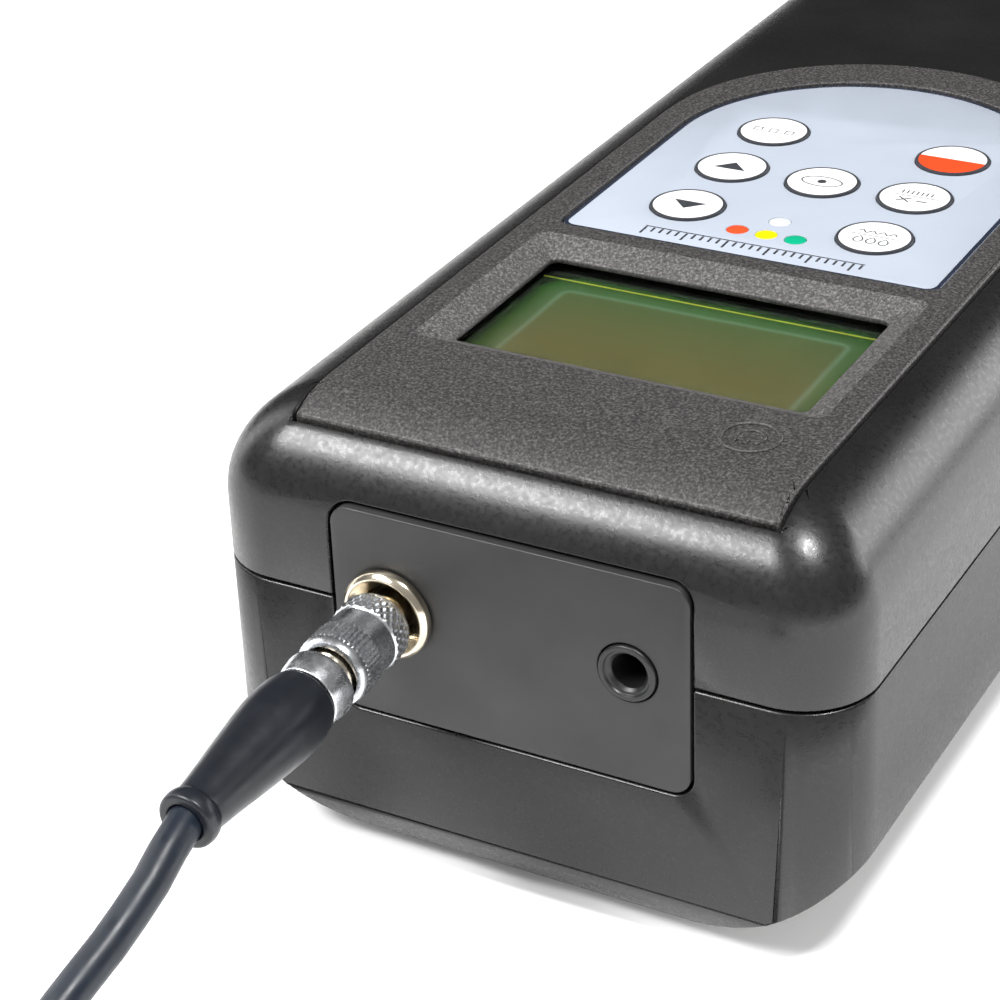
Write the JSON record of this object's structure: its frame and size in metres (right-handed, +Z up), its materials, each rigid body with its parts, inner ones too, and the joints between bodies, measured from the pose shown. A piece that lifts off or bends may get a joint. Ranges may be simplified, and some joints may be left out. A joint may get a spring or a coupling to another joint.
{
  "type": "moisture meter",
  "caption": "Handheld moisture meter with an arched keypad, sunken display, battery bay and a plug-in lead to a pin probe.",
  "frame": {"origin": "bottom centre of the meter without its lead, on the surface it lies on", "axes": "+X across the width, +Y along the length away from the connector end, +Z up through the keypad face"},
  "size_m": [0.0714, 0.4068, 0.0461],
  "materials": {
    "shell_black": "semi-gloss moulded ABS",
    "faceplate_black": "fine sparkling texture",
    "end_plate_black": "smooth satin",
    "overlay_blue_grey": "printed polyester film, fine matte",
    "key_white": "printed polyester film, satin",
    "steel": "plain bright steel",
    "nickel": "warm nickel plating",
    "satin_silver": "satin chromed brass",
    "board_green": "solder resist over glass epoxy",
    "chip_black": "moulded epoxy",
    "lcd_olive": "unlit reflective LCD",
    "clear_window": "clear acrylic",
    "pale_plastic": "pale moulded plastic",
    "dark_plastic": "black nylon",
    "boot_black": "satin moulded rubber",
    "cable_black": "blue-black PVC jacket",
    "cell_wrap": "printed film over a steel can",
    "led_red": "tinted lens",
    "led_yellow": "tinted lens",
    "led_green": "tinted lens"
  },
  "bodies": {
    "housing": {"top_shell": "shell_black", "bottom_shell": "shell_black", "faceplate": "faceplate_black", "end_plate": "end_plate_black", "keypad_overlay": "overlay_blue_grey", "display_window": "clear_window", "lcd_panel": "lcd_olive", "lcd_backlight": "pale_plastic", "led_white": "pale_plastic", "socket_insert": "pale_plastic", "lcd_frame": "dark_plastic", "data_jack": "dark_plastic", "main_board": "board_green", "controller_chip": "chip_black", "converter_chip": "chip_black", "led_red": "led_red", "led_yellow": "led_yellow", "led_green": "led_green", "case_screw_1": "steel", "case_screw_2": "steel", "case_screw_3": "steel", "case_screw_4": "steel", "board_screw_1": "steel", "board_screw_2": "steel", "contact_front_left": "steel", "contact_front_middle": "steel", "contact_front_right": "steel", "contact_back_left": "steel", "contact_back_right": "steel", "dome_sheet": "steel", "socket_nut": "steel", "jack_nut": "steel", "panel_socket": "nickel", "battery_1": "cell_wrap", "battery_2": "cell_wrap", "battery_3": "cell_wrap", "battery_4": "cell_wrap"},
    "key_down": {"key_down": "key_white"},
    "key_measure": {"key_measure": "key_white"},
    "key_up": {"key_up": "key_white"},
    "key_read": {"key_read": "key_white"},
    "key_delete": {"key_delete": "key_white"},
    "key_select": {"key_select": "key_white"},
    "key_power": {"key_power": "key_white"},
    "battery_cover": {"battery_cover": "shell_black"},
    "lead": {"plug_body": "nickel", "collet_nut": "satin_silver", "bend_relief": "boot_black", "cable": "cable_black", "cable_tail": "cable_black", "cable_coil": "cable_black", "cable_tie": "dark_plastic", "probe_relief": "boot_black", "probe_handle": "shell_black", "probe_head": "satin_silver", "probe_pin_left": "steel", "probe_pin_right": "steel"},
    "plug_sleeve": {"plug_sleeve": "satin_silver"}
  },
  "joints": [
    {"name": "key_down_press", "type": "slide", "parent": "housing", "child": "key_down", "axis": [0, 0, -1], "range_m": [0, 0.0003], "stiffness_N_per_m": 2000, "springref_m": -0.0001},
    {"name": "key_measure_press", "type": "slide", "parent": "housing", "child": "key_measure", "axis": [0, 0, -1], "range_m": [0, 0.0003], "stiffness_N_per_m": 2000, "springref_m": -0.0001},
    {"name": "key_up_press", "type": "slide", "parent": "housing", "child": "key_up", "axis": [0, 0, -1], "range_m": [0, 0.0003], "stiffness_N_per_m": 2000, "springref_m": -0.0001},
    {"name": "key_read_press", "type": "slide", "parent": "housing", "child": "key_read", "axis": [0, 0, -1], "range_m": [0, 0.0003], "stiffness_N_per_m": 2000, "springref_m": -0.0001},
    {"name": "key_delete_press", "type": "slide", "parent": "housing", "child": "key_delete", "axis": [0, 0, -1], "range_m": [0, 0.0003], "stiffness_N_per_m": 2000, "springref_m": -0.0001},
    {"name": "key_select_press", "type": "slide", "parent": "housing", "child": "key_select", "axis": [0, 0, -1], "range_m": [0, 0.0003], "stiffness_N_per_m": 2000, "springref_m": -0.0001},
    {"name": "key_power_press", "type": "slide", "parent": "housing", "child": "key_power", "axis": [0, 0, -1], "range_m": [0, 0.0003], "stiffness_N_per_m": 2000, "springref_m": -0.0001},
    {"name": "battery_cover_slide", "type": "slide", "parent": "housing", "child": "battery_cover", "axis": [0, 1, 0], "range_m": [0, 0.04]},
    {"name": "plug_withdraw", "type": "slide", "parent": "housing", "child": "lead", "axis": [0, -1, 0], "range_m": [0, 0.007]},
    {"name": "sleeve_pull", "type": "slide", "parent": "lead", "child": "plug_sleeve", "axis": [0, -0.9986, -0.0523], "range_m": [0, 0.0012], "stiffness_N_per_m": 3000, "springref_m": -0.0002}
  ]
}
